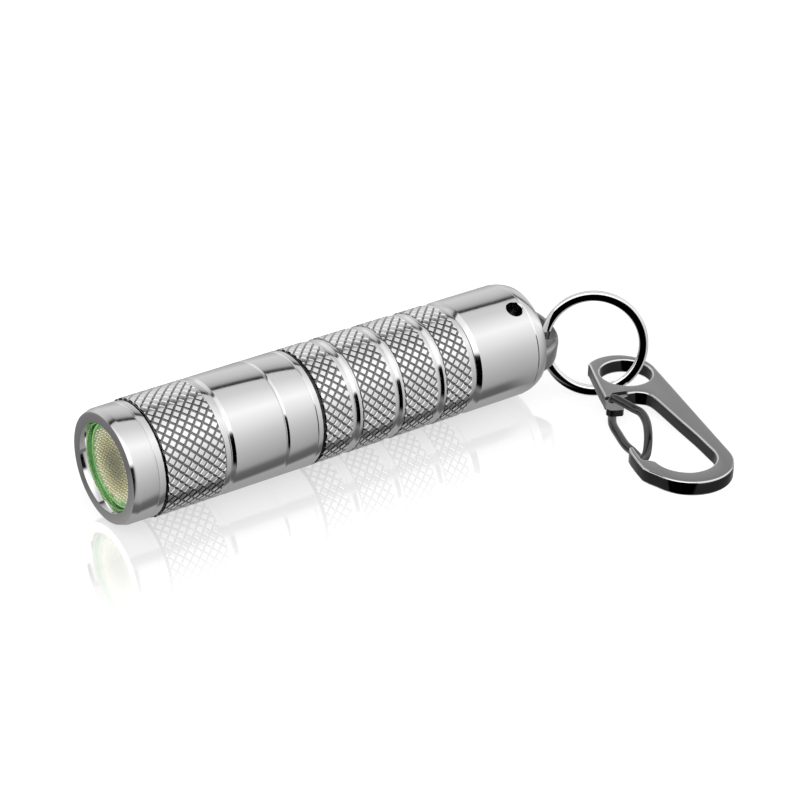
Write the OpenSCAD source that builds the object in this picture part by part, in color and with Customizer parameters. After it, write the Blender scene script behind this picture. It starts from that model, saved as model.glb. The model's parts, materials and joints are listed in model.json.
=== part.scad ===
// Keychain flashlight with a twist head, a split ring and a small snap hook.
// Millimetres. +X runs along the light from the front rim to the tail, +Z is up.
// The origin is the centre of the front rim, on the light's axis.

/* [Body] */
// Diameter of the head and the battery tube
body_d = 16; // [15.8:0.1:16.4]
// Front rim to the seam between head and tube
head_len = 22.9; // [22.8:0.1:23.4]
// Seam to the joint of the tail cap
tube_len = 31; // [30.6:0.1:31.2]
// Tail cap joint to the tail's end face
tail_len = 12.7; // [12.6:0.1:13.2]

/* [Bezel] */
// Diameter of the bezel
bezel_d = 15.6; // [15.2:0.1:15.7]
// Visible length of the bezel
bezel_len = 4.72; // [4.6:0.02:4.8]
// Diameter of the opening for the beam
window_d = 12.1; // [11.8:0.1:12.2]
// Axial length of the bezel's outer chamfer
bezel_chamfer = 0.95; // [0.6:0.05:1.2]

/* [Surface] */
// Depth of the V grooves between the knurled bands
groove_depth = 0.5; // [0.3:0.05:0.55]
// How far the smooth lands beside each groove lie below the knurl
land_step = 0.12; // [0.05:0.01:0.2]
// Depth of the fine turned lines
line_depth = 0.12; // [0.05:0.01:0.2]

/* [Battery] */
// Diameter of the cell over its wrap
cell_d = 10.4; // [10.1:0.1:10.5]
// Length of the cell with its button
cell_len = 44.5; // [44.3:0.1:44.6]

/* [Head joint] */
// Thread pitch of the twist head
thread_pitch = 1; // [0.75:0.05:1.25]
// Outer diameter of the tube's threaded neck
neck_d = 13.7; // [13.5:0.05:13.75]
// Inner diameter of the head's skirt over that neck
skirt_d = 14; // [13.95:0.05:14.1]

/* [Tail] */
// Radius of the small hole across the tail
lanyard_r = 1.2; // [0.8:0.1:1.3]
// Turn of that hole about the axis, from straight up towards -Y
lanyard_angle = 32; // [20:1:45]
// Thickness of the flat lug behind the tail
lug_t = 3.6; // [3.2:0.1:3.8]
// Turn of the lug about the axis
lug_angle = 10; // [8:1:12]

/* [Split ring] */
// Outer diameter of the split ring
ring_d = 15.17; // [15.1:0.01:15.2]
// Radial width of its wire
ring_w = 1.3; // [1.1:0.05:1.35]
// Thickness of its two turns together
ring_t = 1.3; // [1.1:0.05:1.35]

/* [Snap hook] */
// Thickness of the hook's flat frame
hook_t = 2.1; // [1.9:0.05:2.15]
// Radius of the eye
eye_r = 3.72; // [3.5:0.02:3.8]
// Diameter of the gate's wire
gate_d = 1.2; // [1:0.05:1.25]

/* [Hidden] */
$fn = 96;
eps = 0.01;
body_r = body_d / 2;
bezel_r = bezel_d / 2;
window_r = window_d / 2;
neck_r = neck_d / 2;
skirt_r = skirt_d / 2;
cell_r = cell_d / 2;

// Places along the light, measured from the front rim
seam_x = head_len;
joint_x = seam_x + tube_len;
end_x = joint_x + tail_len;
lens_x = 1.02;
lens_t = 0.5;
optic_x = lens_x + lens_t;
board_x = 9;
board_t = 1;
shelf_x = board_x + board_t;
shelf_t = 1;
driver_x = 12.1;
driver_t = 0.8;
cell_x = 13.9;
button_len = 0.8;
neck_x = 13.95;
cell_end_x = cell_x + cell_len;
cavity_end_x = end_x - 5.4;

// Radii inside the head
shank_r = 6.9;
bore_front_r = 7;
lens_r = 6.25;
lens_seat_r = 6.3;
pocket_r = 6;
driver_r = 6.5;
tube_bore_r = 5.45;

// The knurled bands of the tube: where each one starts and ends
collar_end = seam_x + 5.75;
band_start = [collar_end + 0.75, seam_x + 12.2, seam_x + 19.12, seam_x + 26.02];
band_end = [seam_x + 10.36, seam_x + 17.35, seam_x + 24.35, seam_x + 30.12];
groove_half = 0.45;

// Split ring: where its centre is and how it leans
ring_turn = -131;
ring_lean = 8.2;
ring_r = ring_d / 2;
ring_x = end_x + 8.17;
ring_y = -7.7;
ring_z = -body_r + ring_r * cos(ring_lean) + ring_t / 2 * sin(ring_lean);

// Snap hook: its own frame has X from the eye to the nose and Z up out of its flat top
hook_turn = -110;
hook_tilt = 3.2;
hook_end_x = 24.07;
hook_end_r = 6.1;
hook_reach = hook_end_x + hook_end_r;
gate_p = [6.3, -4.3];
leg_step = 0.55;
eye_x = end_x + 10.95;
eye_y = -11.57;
eye_z = -body_r + hook_t * cos(hook_tilt) + hook_reach * sin(hook_tilt);

// Helpers

// A turned part: its profile's points are [radius, place along the light]
module turned(profile) {
    rotate([0, 90, 0])
        rotate_extrude()
            polygon(profile);
}

// A plain disc, or a washer when it has an inner radius
module washer(x, t, r_out, r_in = 0) {
    translate([x, 0, 0])
        rotate([0, 90, 0])
            difference() {
                cylinder(r = r_out, h = t);
                if (r_in > 0)
                    translate([0, 0, -1])
                        cylinder(r = r_in, h = t + 2);
            }
}

// A rubber ring of round section about the light's axis
module rubber_ring(x, r_mid, r_wire) {
    translate([x, 0, 0])
        rotate([0, 90, 0])
            rotate_extrude()
                translate([r_mid, 0])
                    circle(r = r_wire, $fn = 32);
}

// A smooth closed route through the corners, with extra points between each pair
function smooth_loop(c, steps = 4) =
    let (n = len(c))
    [for (i = [0 : n - 1]) for (j = [0 : steps - 1])
        let (t = j / steps, a = c[(i + n - 1) % n], b = c[i], d = c[(i + 1) % n], e = c[(i + 2) % n])
        0.5 * (2 * b + (d - a) * t + (2 * a - 5 * b + 4 * d - e) * t * t
            + (3 * b - a - 3 * d + e) * t * t * t)];

// Turns about the light's axis, from straight up towards -Y
module about_axis(angle) {
    rotate([angle, 0, 0])
        children();
}

// Puts a shape drawn in the hook's own frame in its place
module on_hook() {
    translate([eye_x, eye_y, eye_z])
        rotate([0, hook_tilt, hook_turn])
            children();
}

// Profile points [radius, x] of a V groove between two x values
function v_groove(x, half, r_side, depth) =
    [[r_side, x - half], [r_side - depth, x], [r_side, x + half]];

// Points of a quarter ellipse, from the base radius up to the tip on the axis
function dome_points(x_base, width, height, steps = 16) =
    [for (i = [0 : steps]) [width * cos(90 * i / steps), x_base + height * sin(90 * i / steps)]];

// Head

module bezel() {
    lip_r = window_r - 0.3;
    line_x = 3.55;
    back_r = bezel_r - 0.4;
    color("silver")
        turned([
            [window_r, 0], [bezel_r - 0.4, 0], [bezel_r, bezel_chamfer],
            [bezel_r, line_x - 0.1], [bezel_r - line_depth, line_x], [bezel_r, line_x + 0.1],
            [bezel_r, bezel_len - 0.35], [back_r, bezel_len], [shank_r, bezel_len],
            [shank_r, 5.4], [shank_r - 0.35, 5.4], [shank_r - 0.35, 5.9], [shank_r, 5.9],
            [shank_r, 8.2], [lens_seat_r, 8.2], [lens_seat_r, 1], [lip_r, 1], [lip_r, 0.85]
        ]);
}

module bezel_oring() {
    color("dimgray")
        rubber_ring(5.65, shank_r - 0.14, 0.2);
}

module glow_ring() {
    color("lime")
        rubber_ring(optic_x + 0.26, window_r - 0.32, 0.22);
}

module lens() {
    color([0.85, 0.92, 0.9, 0.4])
        turned([
            [0, lens_x], [lens_r - 0.1, lens_x], [lens_r, lens_x + 0.1],
            [lens_r, optic_x - 0.1], [lens_r - 0.1, optic_x], [0, optic_x]
        ]);
}

// A total internal reflection lens with a pocket for the emitter at its back
module optic() {
    back_x = board_x - 0.55;
    color([0.88, 0.88, 0.7, 0.5])
        difference() {
            turned([
                [0, optic_x + eps], [window_r - 0.57, optic_x + eps], [window_r - 0.57, optic_x + 0.6],
                [6.1, optic_x + 0.6], [6.1, optic_x + 1.4], [5.7, optic_x + 1.4],
                [5, optic_x + 3.6], [4, optic_x + 5.4], [2.7, back_x], [0, back_x]
            ]);
            translate([back_x - 2.4, 0, 0])
                rotate([0, 90, 0])
                    cylinder(r = 1.8, h = 3);
        }
}

module optic_collar() {
    color("white")
        washer(board_x - 0.5, 0.5, 4.6, 2.5);
}

module led_board() {
    color("white")
        difference() {
            washer(board_x + eps, board_t - 2 * eps, 6.1);
            for (a = [90, 270])
                about_axis(a)
                    translate([board_x - 1, 0, 5.6])
                        rotate([0, 90, 0])
                            cylinder(r = 0.8, h = 3, $fn = 32);
        }
}

module led_package() {
    side = 3.4;
    color("gold")
        translate([board_x - 0.5, -side / 2, -side / 2])
            cube([0.5, side, side]);
}

module led_dome() {
    color([1, 0.9, 0.4, 0.7])
        intersection() {
            translate([board_x - 0.5, 0, 0])
                sphere(r = 1.4, $fn = 48);
            translate([board_x - 3.5, -3, -3])
                cube([3, 6, 6]);
        }
}

module head_shell() {
    front_x = bezel_len;
    groove_x = 14.68;
    knurl_x = 5.05;
    driver_step = driver_x;
    color("silver")
        difference() {
            turned([
                [bore_front_r, front_x], [body_r - 0.6, front_x], [body_r - 0.6, knurl_x - 0.1],
                [body_r, knurl_x],
                [body_r, groove_x - 0.28], [body_r - 0.35, groove_x - 0.05],
                [body_r - 0.35, groove_x + 0.05], [body_r, groove_x + 0.28],
                [body_r, seam_x - 0.2], [body_r - 0.2, seam_x],
                [skirt_r, seam_x], [skirt_r, driver_step + 1],
                [skirt_r, driver_step], [pocket_r, driver_step],
                [pocket_r, shelf_x + shelf_t], [0, shelf_x + shelf_t],
                [0, shelf_x], [bore_front_r, shelf_x]
            ]);
            for (a = [90, 270])
                about_axis(a)
                    translate([shelf_x - 1, 0, 5.2])
                        rotate([0, 90, 0])
                            cylinder(r = 0.6, h = 3, $fn = 32);
        }
}

module inductor() {
    side = 3;
    color("dimgray")
        translate([driver_x - 1, -3.6, -side / 2])
            cube([1, side, side]);
}

module driver_chips() {
    color([0.15, 0.15, 0.16])
        for (p = [[0.4, 0.2, 2.4, 2], [0.4, -2.6, 2.2, 1.6], [3.2, 0.4, 1.2, 0.8], [3.2, -1.4, 1.2, 0.8]])
            translate([driver_x - 0.8, p[0], p[1]])
                cube([0.8, p[2], p[3]]);
}

// Two short leads through the shelf, from the driver to the emitter's board
module led_wires() {
    color("crimson")
        for (a = [90, 270])
            about_axis(a)
                translate([board_x + board_t + 0.02, 0, 5.2])
                    rotate([0, 90, 0])
                        cylinder(r = 0.4, h = driver_x - board_x - board_t - 0.04, $fn = 24);
}

module driver_board() {
    color("darkgreen")
        washer(driver_x + eps, driver_t - eps, driver_r);
}

// A flat wound spring, shown closed, that presses on the cell's button
module contact_spring() {
    color("goldenrod")
        turned([
            [0, driver_x + driver_t], [2, driver_x + driver_t], [2, driver_x + driver_t + 0.3],
            [1.4, cell_x - 0.05], [0, cell_x - 0.05]
        ]);
}

module polarity_guard() {
    color([0.12, 0.12, 0.12])
        washer(driver_x + driver_t, 0.6, 4.4, 2.5);
}

// A threaded ring with two spanner notches that clamps the driver
module retaining_ring() {
    color("goldenrod")
        difference() {
            washer(driver_x + driver_t, 0.95, skirt_r - eps, 4.8);
            for (a = [0, 90])
                about_axis(a)
                    translate([driver_x + driver_t + 0.45, -0.6, -8])
                        cube([2, 1.2, 16]);
        }
}

// Battery

module cell_can() {
    can_x = cell_x + button_len;
    color("lightgray")
        turned([
            [0, can_x + 0.6], [cell_r - 0.9, can_x + 0.6], [cell_r - 0.9, can_x],
            [cell_r - 0.4, can_x], [cell_r - 0.1, can_x + 0.3],
            [cell_r - 0.1, cell_end_x - 0.3], [cell_r - 0.4, cell_end_x], [0, cell_end_x]
        ]);
}

module cell_wrap() {
    can_x = cell_x + button_len;
    color("steelblue")
        turned([
            [cell_r - 0.1, can_x + 0.35], [cell_r, can_x + 0.35],
            [cell_r, cell_end_x - 0.35], [cell_r - 0.1, cell_end_x - 0.35]
        ]);
}

module cell_gasket() {
    can_x = cell_x + button_len;
    color("black")
        washer(can_x, 0.6, cell_r - 0.9, 3);
}

module cell_button() {
    can_x = cell_x + button_len;
    color("silver")
        turned([
            [0, cell_x], [1.7, cell_x], [1.9, cell_x + 0.2], [1.9, can_x + 0.2],
            [3, can_x + 0.2], [3, can_x + 0.6], [0, can_x + 0.6]
        ]);
}

// Tube

module battery_tube() {
    land_r = body_r - land_step;
    line_x = seam_x + 4.82;
    ring_groove_x = seam_x - 1.4;
    tail_neck_x = joint_x + 5.2;
    grooves = [for (i = [0 : 2]) each concat(
        [[body_r, band_start[i]], [body_r, band_end[i]], [land_r, band_end[i] + 0.05]],
        v_groove((band_end[i] + band_start[i + 1]) / 2, groove_half, land_r, groove_depth),
        [[land_r, band_start[i + 1] - 0.05]]
    )];
    color("silver")
        turned(concat(
            [
                [tube_bore_r, neck_x], [neck_r - 0.3, neck_x], [neck_r, neck_x + 0.3],
                [neck_r, ring_groove_x - 0.6], [neck_r - 0.8, ring_groove_x - 0.6],
                [neck_r - 0.8, ring_groove_x + 0.6], [neck_r, ring_groove_x + 0.6],
                [neck_r, seam_x + 0.05], [body_r - 0.2, seam_x + 0.05], [body_r, seam_x + 0.25],
                [body_r, line_x - 0.12], [body_r - line_depth, line_x], [body_r, line_x + 0.12],
                [body_r, collar_end - 0.1], [body_r - 0.1, collar_end],
                [body_r - 0.35, collar_end + 0.05], [body_r - 0.35, band_start[0] - 0.2]
            ],
            grooves,
            [
                [body_r, band_start[3]], [body_r, band_end[3]], [land_r, band_end[3] + 0.05],
                [land_r, joint_x - 0.05], [body_r - 0.65, joint_x],
                [6.6, joint_x], [6.6, tail_neck_x], [5.9, tail_neck_x], [tube_bore_r, tail_neck_x]
            ]
        ));
}

module neck_oring() {
    color("dimgray")
        rubber_ring(seam_x - 1.4, neck_r - 0.38, 0.42);
}

module tail_oring() {
    color("dimgray")
        rubber_ring(joint_x + 5.55, 6.15, 0.35);
}

module tail_cap() {
    step_x = joint_x + 0.95;
    shoulder_x = joint_x + 10.75;
    shoulder = [for (i = [0 : 8])
        [body_r - 0.08 - 0.5 * pow(i / 8, 1.7), shoulder_x + 0.12 + (end_x - shoulder_x - 0.27) * i / 8]];
    slot_half = 5.05;
    slot_r = 1.75;
    slot_x = end_x + 2.7;
    lug_base = end_x - 0.9;
    lug_h = 6.4;
    lug_w = body_r - 0.57;
    color("silver")
        difference() {
            union() {
                turned(concat(
                    [
                        [6.62, joint_x + 0.02], [body_r - 0.7, joint_x + 0.02], [body_r, step_x],
                        [body_r, shoulder_x - 0.05], [body_r - line_depth, shoulder_x]
                    ],
                    shoulder,
                    [
                        [body_r - 0.75, end_x], [0, end_x], [0, cavity_end_x],
                        [tube_bore_r, cavity_end_x], [tube_bore_r, joint_x + 6],
                        [6.62, joint_x + 6]
                    ]
                ));
                // The lug: a dome with two flats
                intersection() {
                    turned(concat([[0, lug_base]], dome_points(lug_base, lug_w, lug_h)));
                    about_axis(lug_angle)
                        translate([end_x - 1, -body_r, -lug_t / 2])
                            cube([lug_h + 2, 2 * body_r, lug_t]);
                }
            }
            // The ring's slot through the lug
            about_axis(lug_angle)
                translate([0, 0, -body_r]) {
                    for (s = [-1, 1])
                        translate([slot_x, s * (slot_half - slot_r), 0])
                            cylinder(r = slot_r, h = 2 * body_r, $fn = 64);
                    translate([slot_x - slot_r, -(slot_half - slot_r), 0])
                        cube([2 * slot_r, 2 * (slot_half - slot_r), 2 * body_r]);
                }
            // The small hole across the tail, with broken edges
            about_axis(lanyard_angle)
                translate([end_x - 3.45, 0, 0]) {
                    translate([0, 0, -body_r - 1])
                        cylinder(r = lanyard_r, h = 2 * body_r + 2, $fn = 64);
                }
        }
}

module tail_board() {
    color("darkgreen")
        washer(cavity_end_x - 0.8, 0.8 - eps, tube_bore_r - 0.1);
}

// A conical spring between the tail contact and the cell
module tail_spring() {
    turns = 3.5;
    wire_r = 0.22;
    start_x = cell_end_x + wire_r + 0.02;
    stop_x = cavity_end_x - 0.8 - wire_r - 0.02;
    steps = 16 * turns;
    function place(i) = let (k = i / steps, a = 360 * turns * k, r = 2.2 + 1.9 * k)
        [start_x + (stop_x - start_x) * k, r * sin(a), r * cos(a)];
    color("goldenrod")
        tube_along([for (i = [0 : steps]) place(i)], wire_r, [1, 0, 0]);
}

// A round tube swept along a route, as one closed skin. The route never runs along ref.
module tube_along(route, r, ref, sides = 8) {
    n = len(route);
    function dir(i) = let (a = route[max(0, i - 1)], b = route[min(n - 1, i + 1)]) (b - a) / norm(b - a);
    walls = [for (i = [0 : n - 2]) for (j = [0 : sides - 1])
        let (k = (j + 1) % sides)
        [i * sides + j, i * sides + k, (i + 1) * sides + k, (i + 1) * sides + j]];
    first = [[for (j = [sides - 1 : -1 : 0]) j]];
    last = [[for (j = [0 : sides - 1]) (n - 1) * sides + j]];
    points = [for (i = [0 : n - 1]) each section(route[i], dir(i), r, ref, sides)];
    polyhedron(points, concat(walls, first, last));
}

// The same along a route whose end joins its start
module tube_loop(route, r, ref, sides = 10) {
    n = len(route);
    function dir(i) = let (d = route[(i + 1) % n] - route[(i + n - 1) % n]) d / norm(d);
    points = [for (i = [0 : n - 1]) each section(route[i], dir(i), r, ref, sides)];
    polyhedron(points, [for (i = [0 : n - 1]) for (j = [0 : sides - 1])
        let (k = (j + 1) % sides, m = (i + 1) % n)
        [i * sides + j, i * sides + k, m * sides + k, m * sides + j]]);
}

// Points of a round section about p, square to the direction d
function section(p, d, r, ref, sides) =
    let (s = cross(d, ref) / norm(cross(d, ref)), u = cross(s, d))
    [for (j = [0 : sides - 1]) p + r * (cos(360 * j / sides) * s + sin(360 * j / sides) * u)];

// Split ring and snap hook

module split_ring() {
    edge = 0.25;
    r_in = ring_r - ring_w;
    half = ring_t / 2;
    color("silver")
        translate([ring_x, ring_y, ring_z])
            rotate([0, 90 - ring_lean, ring_turn])
                rotate_extrude()
                    polygon([
                        [r_in, -half + edge], [r_in + edge, -half], [ring_r - edge, -half],
                        [ring_r, -half + edge], [ring_r, half - edge], [ring_r - edge, half],
                        [r_in + edge, half], [r_in, half - edge]
                    ]);
}

module hook_frame() {
    end_c = [hook_end_x, -0.11];
    color([0.35, 0.35, 0.37])
        on_hook()
            difference() {
                translate([0, 0, -hook_t])
                    union() {
                        translate([-0.2, -0.6, 0])
                            cylinder(r = 5.1, h = hook_t);
                        translate(end_c)
                            cylinder(r = hook_end_r, h = hook_t);
                        // Spine, nose arm and the lug that carries the gate
                        linear_extrude(height = hook_t)
                            polygon([
                                [-0.4, 4.496], [23.9, 5.987], [26.6, -5.66], [24.9, -6.85],
                                [20.75, -7], [19.6, -6.85], [19.25, -6.2], [18, -3], [10, -1],
                                [8.85, -4.3], [8.7, -5.5], [8, -5.85], [6.9, -5.4], [2, -5.2],
                                [-0.7, -5.5]
                            ]);
                    }
                // Eye
                translate([0, 0, -hook_t - 1])
                    cylinder(r = eye_r, h = hook_t + 2);
                // The flat side of the eye's wall
                translate([0, 0, -hook_t - 1])
                    linear_extrude(height = hook_t + 2)
                        polygon([
                            [-7, -3.65], [-3.16, -4.25], [2.95, -4.94], [6.96, -5.25], [7, -8], [-7, -8]
                        ]);
                // The loop's opening, which runs out through the gate's gap
                translate([23.95, 0.45, -hook_t - 1])
                    cylinder(r = 3.5, h = hook_t + 2);
                translate([0, 0, -hook_t - 1])
                    linear_extrude(height = hook_t + 2)
                        polygon([
                            [5.5, -0.8], [5.95, 0.4], [6.7, 1.12], [7.7, 1.42], [23.4, 3.91],
                            [26, -2.4], [23.6, -4.5], [22.75, -6.2], [19.1, -6.2], [18.8, -8],
                            [9, -8], [9, -3.4], [7.2, -3.05], [5.7, -2.2]
                        ]);
                // The lug is thinner above and below, where the legs of the gate cross it
                for (h = [-leg_step, -hook_t + leg_step - 3])
                    translate([0, 0, h])
                        linear_extrude(height = 3)
                            polygon([
                                [5, -1.8], [5, -3.84], [5.85, -4.6], [5.5, -7], [10, -7], [10, -1.8]
                            ]);
                // Hole for the gate's pivot
                translate([gate_p[0], gate_p[1], -hook_t - 1])
                    cylinder(r = gate_d / 2 + 0.05, h = hook_t + 2);
            }
}

// One closed loop of wire: its legs lie on either side of the lug and meet behind the nose.
// Its pivot is a straight stretch of the same wire that runs through the lug.
module gate_wire() {
    px = gate_p[0];
    py = gate_p[1];
    up = 0.07;
    mid = -hook_t / 2;
    low = -hook_t - up;
    corners = [
        [px, py, mid], [px, py, mid + 0.5], [px + 0.16, py + 0.09, up - 0.2],
        [px + 0.65, py + 0.36, up], [9.6, -2.75, up], [11.3, -2, up], [13.7, -2.15, 0.05],
        [16.4, -2.9, -0.05], [18.9, -3.85, -0.35], [20.6, -4.7, -0.75], [20.9, -5.25, -1.2],
        [20, -5.4, -1.55], [18, -5.6, -1.65], [16, -5.85, -1.8], [12.9, -5.7, -2],
        [9.7, -5.4, low], [px + 0.7, py - 0.2, low], [px + 0.16, py - 0.05, low + 0.2],
        [px, py, mid - 0.5]
    ];
    color([0.3, 0.3, 0.32])
        on_hook()
            tube_loop(smooth_loop(corners), gate_d / 2, [0, 1, 0]);
}

bezel();
bezel_oring();
glow_ring();
lens();
optic();
optic_collar();
led_board();
led_package();
led_dome();
head_shell();
inductor();
driver_chips();
led_wires();
driver_board();
contact_spring();
polarity_guard();
retaining_ring();
cell_can();
cell_wrap();
cell_gasket();
cell_button();
battery_tube();
neck_oring();
tail_oring();
tail_cap();
tail_board();
tail_spring();
split_ring();
hook_frame();
gate_wire();
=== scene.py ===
import json
import math

import bmesh
import bpy
import numpy as np
from mathutils import Matrix, Vector


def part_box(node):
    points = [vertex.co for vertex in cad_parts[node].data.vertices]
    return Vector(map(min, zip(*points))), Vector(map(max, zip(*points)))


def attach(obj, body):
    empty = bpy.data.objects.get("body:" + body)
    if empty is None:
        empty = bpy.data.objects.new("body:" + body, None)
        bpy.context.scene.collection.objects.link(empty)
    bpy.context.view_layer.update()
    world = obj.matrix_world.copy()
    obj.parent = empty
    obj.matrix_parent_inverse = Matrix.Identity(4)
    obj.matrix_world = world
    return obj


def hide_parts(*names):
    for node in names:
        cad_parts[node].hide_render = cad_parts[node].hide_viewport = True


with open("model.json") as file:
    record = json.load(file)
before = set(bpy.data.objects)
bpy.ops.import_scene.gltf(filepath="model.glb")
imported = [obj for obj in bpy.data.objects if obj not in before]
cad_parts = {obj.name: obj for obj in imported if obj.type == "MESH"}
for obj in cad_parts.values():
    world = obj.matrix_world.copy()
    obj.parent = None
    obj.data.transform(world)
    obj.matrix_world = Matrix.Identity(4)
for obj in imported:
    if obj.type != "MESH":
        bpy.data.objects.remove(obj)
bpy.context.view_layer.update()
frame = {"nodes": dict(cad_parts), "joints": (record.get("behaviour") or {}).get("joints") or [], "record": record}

MM = 0.001
record = frame["record"]
joints = {j["name"]: j for j in frame["joints"]}


# Sizes in millimetres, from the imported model

def low(node, axis):
    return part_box(node)[0][axis] / MM


def high(node, axis):
    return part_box(node)[1][axis] / MM


BODY_R = high("head_shell", 2)
BEZEL_R = high("bezel", 2)
SEAM_X = high("head_shell", 0)
NECK_X = low("battery_tube", 0)
TUBE_END_X = high("battery_tube", 0)
SPIGOT_LEN = 5.2
TAIL_LEN = 12.7
JOINT_X = TUBE_END_X - SPIGOT_LEN
END_X = JOINT_X + TAIL_LEN
LUG_END_X = high("tail_cap", 0)
BEZEL_LEN = low("head_shell", 0)
SHANK_END_X = high("bezel", 0)
WINDOW_R = 6.05
LIP_R = WINDOW_R - 0.3
SHANK_R = 6.9
SKIRT_R = 7.0
BORE_R = 5.45
NECK_R = 6.85
LAND_R = BODY_R - 0.12
LINE_DEPTH = 0.13
GROOVE_DEPTH = 0.42
SEGMENTS = 256

KNURL_COUNT = 35
KNURL_DEPTH = 0.27
KNURL_GROOVE = 0.3

# Places of a turned body's other colours, after its plain finish: knurl groove walls darker (painted shade),
# recesses near-black (painted shade), knurl tops brighter (painted highlight)
GROOVE = 1
RECESS_SHADE = 2
KNURL_TOP = 3


# Materials

def link(tree, a, b):
    tree.links.new(a, b)


def noise(tree, vector, detail):
    n = tree.nodes.new("ShaderNodeTexNoise")
    n.inputs["Scale"].default_value = 1.0
    n.inputs["Detail"].default_value = detail
    link(tree, vector, n.inputs["Vector"])
    return n.outputs["Fac"]


def stretched(tree, scale):
    """The object's own coordinates, scaled along each axis."""
    coord = tree.nodes.new("ShaderNodeTexCoord")
    mapping = tree.nodes.new("ShaderNodeMapping")
    mapping.inputs["Scale"].default_value = scale
    link(tree, coord.outputs["Object"], mapping.inputs["Vector"])
    return mapping.outputs["Vector"]


def map_range(tree, value, source, target=(0.0, 1.0), smooth=False):
    """Carries a value over from the source span to the target span."""
    m = tree.nodes.new("ShaderNodeMapRange")
    if smooth:
        m.interpolation_type = "SMOOTHSTEP"
    m.inputs["From Min"].default_value = source[0]
    m.inputs["From Max"].default_value = source[1]
    m.inputs["To Min"].default_value = target[0]
    m.inputs["To Max"].default_value = target[1]
    link(tree, value, m.inputs["Value"])
    return m.outputs["Result"]


def color_ramp(tree, value, stops):
    """A colour ramp through the stops (position, colour)."""
    ramp = tree.nodes.new("ShaderNodeValToRGB")
    elements = ramp.color_ramp.elements
    while len(elements) < len(stops):
        elements.new(0.5)
    for element, (position, color) in zip(elements, stops):
        element.position = position
        element.color = (*color, 1)
    link(tree, value, ramp.inputs["Fac"])
    return ramp.outputs["Color"]


def calculate(tree, operation, *values):
    """A math node, whose values are numbers or the outputs of other nodes."""
    n = tree.nodes.new("ShaderNodeMath")
    n.operation = operation
    for socket, value in zip(n.inputs, values):
        if isinstance(value, (int, float)):
            socket.default_value = value
        else:
            link(tree, value, socket)
    return n.outputs[0]


def separate(tree, vector):
    split = tree.nodes.new("ShaderNodeSeparateXYZ")
    link(tree, vector, split.inputs["Vector"])
    return split


# Noise stays mostly between these two values
NOISE_SPAN = (0.3, 0.7)
BROAD_GRAIN = (90, 90, 90)
BUMP_HEIGHT = 0.01


def material(name, color, metallic=0.0, rough=(0.3, 0.4), vary=0.06, grain=(900, 900, 900),
             bump=0.0, bump_grain=None, coat=0.0, alpha=1.0, emission=None):
    """A finish whose gloss varies with a fine grain and whose colour varies with a broad one.

    The bump raises the fine grain, or a grain of its own.
    """
    m = bpy.data.materials.new(name)
    m.use_nodes = True
    tree = m.node_tree
    shader = tree.nodes["Principled BSDF"]
    fine = noise(tree, stretched(tree, grain), 4.0)
    broad = noise(tree, stretched(tree, BROAD_GRAIN), 2.0)
    dark = tuple(c * (1 - vary) for c in color)
    light = tuple(min(1, c * (1 + vary)) for c in color)
    tones = color_ramp(tree, broad, ((NOISE_SPAN[0], dark), (NOISE_SPAN[1], light)))
    link(tree, tones, shader.inputs["Base Color"])
    link(tree, map_range(tree, fine, NOISE_SPAN, rough), shader.inputs["Roughness"])
    shader.inputs["Metallic"].default_value = metallic
    shader.inputs["Coat Weight"].default_value = coat
    shader.inputs["Alpha"].default_value = alpha
    if emission:
        shader.inputs["Emission Color"].default_value = (*emission[0], 1)
        shader.inputs["Emission Strength"].default_value = emission[1]
    if bump:
        relief = fine
        if bump_grain:
            relief = noise(tree, stretched(tree, bump_grain), 2.0)
        b = tree.nodes.new("ShaderNodeBump")
        b.inputs["Strength"].default_value = bump
        b.inputs["Distance"].default_value = BUMP_HEIGHT * MM
        link(tree, relief, b.inputs["Height"])
        link(tree, b.outputs["Normal"], shader.inputs["Normal"])
    return m


def metal(name, grey, rough, vary, grain, bump, bump_grain=None):
    return material(name, (grey, grey, grey), 1.0, rough, vary, grain, bump, bump_grain)


def even(size):
    """The same grain along all three axes."""
    return (size, size, size)


# The body's faint turning marks vary along its length only
TURNED = (7000, 0, 0)
satin = metal("satin_aluminium", 0.82, (0.08, 0.13), 0.015, even(1500), 0.04, TURNED)
# Brighter copy of the body's aluminium for the knurl tops: painted highlight
knurl_painted_highlight = metal("knurl_painted_highlight_aluminium", 0.97, (0.07, 0.12), 0.015, even(1500), 0.04)
# Darker copy of the body's aluminium for the knurl groove walls: painted shade in the grooves
groove_painted_shade = metal("groove_painted_shade_aluminium", 0.42, (0.07, 0.12), 0.04, even(1500), 0.1)
# Near-black aluminium for recesses: painted shade where the recesses fall into shadow
recess_painted_shade = metal("recess_painted_shade_aluminium", 0.07, (0.2, 0.3), 0.05, even(1500), 0.1)
# The tail lug's aluminium in a much darker grey than the body's: painted shade
lug_painted_shade = metal("lug_painted_shade_aluminium", 0.36, (0.2, 0.3), 0.05, even(1200), 0.2)
chrome = metal("ring_chrome", 0.95, (0.03, 0.06), 0.02, even(700), 0.03)
hook_face = metal("hook_satin", 0.39, (0.3, 0.4), 0.03, (2500, 2500, 400), 0.2)
# Near-black copy of the hook metal for the upright sides: painted shade
hook_side_painted_shade = metal("hook_polished_painted_shade", 0.035, (0.06, 0.1), 0.1, (300, 300, 1200), 0.05)
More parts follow.
